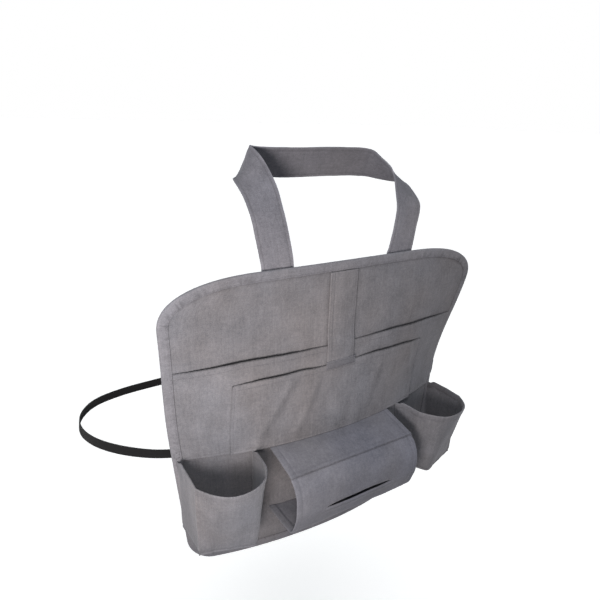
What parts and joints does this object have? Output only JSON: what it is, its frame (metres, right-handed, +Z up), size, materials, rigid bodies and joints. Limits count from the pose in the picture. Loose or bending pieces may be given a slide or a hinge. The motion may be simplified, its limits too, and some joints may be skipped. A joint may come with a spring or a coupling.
{
  "type": "car seat back organizer",
  "caption": "Bowed cloth panel that hangs from a car headrest, with flat pockets, a tissue sleeve and cup pockets at its lower corners.",
  "frame": {"origin": "the middle of the panel's top edge, on the panel's front face, below the middle of the band that the part hangs by", "axes": "+X to the right as seen from in front of the pockets, +Y towards the seat back that the panel hangs on, +Z up"},
  "size_m": [0.5494, 0.2708, 0.482],
  "materials": {
    "cloth": "brushed suede cloth, matte",
    "sleeve_cloth": "the same cloth in a slightly darker, bluish grey, matte",
    "tape": "folded cloth tape, matte",
    "elastic": "woven black elastic, matte"
  },
  "bodies": {
    "root": {"back_panel": "cloth", "edge_binding": "tape", "upper_pocket": "cloth", "front_pocket": "cloth", "centre_strip": "cloth", "strip_tab": "tape", "sleeve_top": "sleeve_cloth", "sleeve_front": "sleeve_cloth", "cup_wall_left": "cloth", "cup_wall_right": "cloth", "cup_base_left": "sleeve_cloth", "cup_base_right": "sleeve_cloth", "hanging_band": "cloth", "band_patch_left": "tape", "band_patch_right": "tape", "elastic_loop": "elastic"}
  },
  "joints": []
}
